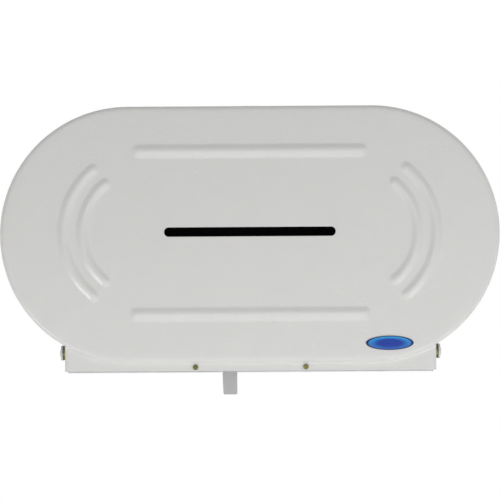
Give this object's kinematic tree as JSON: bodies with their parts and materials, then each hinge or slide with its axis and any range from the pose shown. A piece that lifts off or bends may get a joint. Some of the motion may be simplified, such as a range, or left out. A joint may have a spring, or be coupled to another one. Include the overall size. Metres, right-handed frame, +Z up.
{
  "type": "double roll toilet paper dispenser",
  "caption": "Wall dispenser for a pair of jumbo toilet paper rolls: drawn steel cover hinged at its foot, sight slot, serrated tear bar and a sliding shutter.",
  "frame": {"origin": "on the wall face of the back plate, midway between the two spindles", "axes": "+X to the right as seen from the front, +Y into the wall, +Z up; the cover faces -Y"},
  "size_m": [0.5302, 0.1219, 0.3064],
  "materials": {
    "white_powder": "white powder coat, fine orange peel",
    "smoked": "smoked acrylic",
    "badge_blue": "plain blue enamel",
    "stainless": "brushed stainless",
    "yellow_zinc": "yellow zinc plate",
    "grey_powder": "grey powder coat",
    "zinc": "bright zinc plate",
    "hub_plastic": "moulded black nylon",
    "chrome": "plated"
  },
  "bodies": {
    "wall_unit": {"back_plate": "white_powder", "catch_bracket": "zinc", "hinge_bush_left": "yellow_zinc", "hinge_rivet_left": "white_powder", "spindle_post_left": "zinc", "hub_washer_left": "zinc", "end_screw_left": "zinc", "hinge_bush_right": "yellow_zinc", "hinge_rivet_right": "white_powder", "spindle_post_right": "zinc", "hub_washer_right": "zinc", "end_screw_right": "zinc"},
    "cover": {"cover_shell": "white_powder", "sight_window": "smoked", "badge_plate": "badge_blue", "tear_bar": "stainless", "front_guide_rail": "zinc", "rear_guide_rail": "zinc", "lock_housing": "chrome", "lock_nut": "zinc", "guide_screw_left": "yellow_zinc", "guide_washer_left": "zinc", "guide_nut_left": "zinc", "guide_screw_right": "yellow_zinc", "guide_washer_right": "zinc", "guide_nut_right": "zinc"},
    "shutter": {"shutter_plate": "grey_powder"},
    "lock_rotor": {"lock_plug": "chrome", "lock_cam": "zinc", "lock_cam_screw": "zinc"},
    "left_hub": {"roll_hub_left": "hub_plastic"},
    "right_hub": {"roll_hub_right": "hub_plastic"}
  },
  "joints": [
    {"name": "cover_hinge", "type": "hinge", "parent": "wall_unit", "child": "cover", "pos_m": [0, -0.021, -0.12651], "axis": [1, 0, 0], "range_deg": [0, 75]},
    {"name": "shutter_slide", "type": "slide", "parent": "cover", "child": "shutter", "axis": [1, 0, 0], "range_m": [-0.0258, 0.0696]},
    {"name": "lock_turn", "type": "hinge", "parent": "cover", "child": "lock_rotor", "pos_m": [0, -0.024, 0.13724], "axis": [0, 0.0419, -0.9991], "range_deg": [0, 90]},
    {"name": "left_hub_spin", "type": "hinge", "parent": "wall_unit", "child": "left_hub", "pos_m": [-0.127, -0.058, 0], "axis": [0, -1, 0], "continuous": true},
    {"name": "right_hub_spin", "type": "hinge", "parent": "wall_unit", "child": "right_hub", "pos_m": [0.127, -0.058, 0], "axis": [0, -1, 0], "continuous": true}
  ]
}
